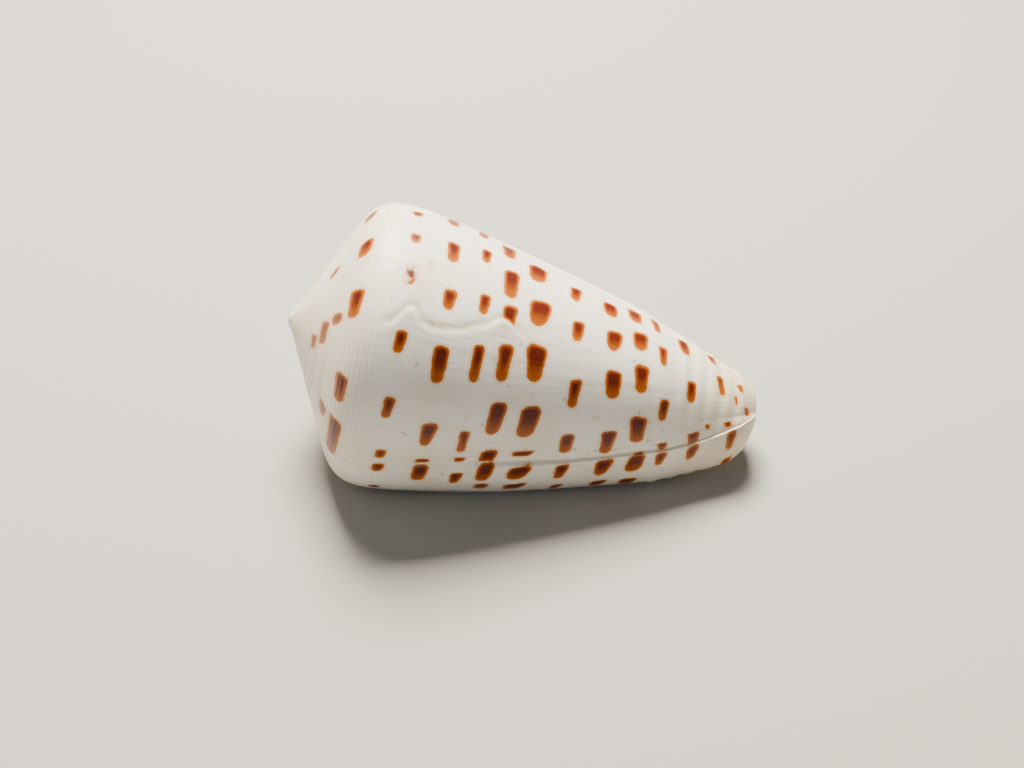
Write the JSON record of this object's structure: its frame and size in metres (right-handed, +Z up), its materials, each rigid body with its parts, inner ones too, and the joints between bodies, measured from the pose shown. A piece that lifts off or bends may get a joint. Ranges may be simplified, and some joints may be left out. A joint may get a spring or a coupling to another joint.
{
  "type": "cone shell",
  "caption": "Cone-shaped seashell with a stepped spire, a rounded shoulder, a long narrow slit underneath and rows of red-brown spots on ivory. It lies on a surface.",
  "frame": {"origin": "centre of the footprint's bounding box, on the surface that the shell lies on", "axes": "+X from the spire towards the narrow end, +Z up, -Y the side with the growth scar and the lip"},
  "size_m": [0.0444, 0.0256, 0.0237],
  "materials": {
    "shell": "natural gloss"
  },
  "bodies": {
    "root": {"shell": "shell"}
  },
  "joints": []
}
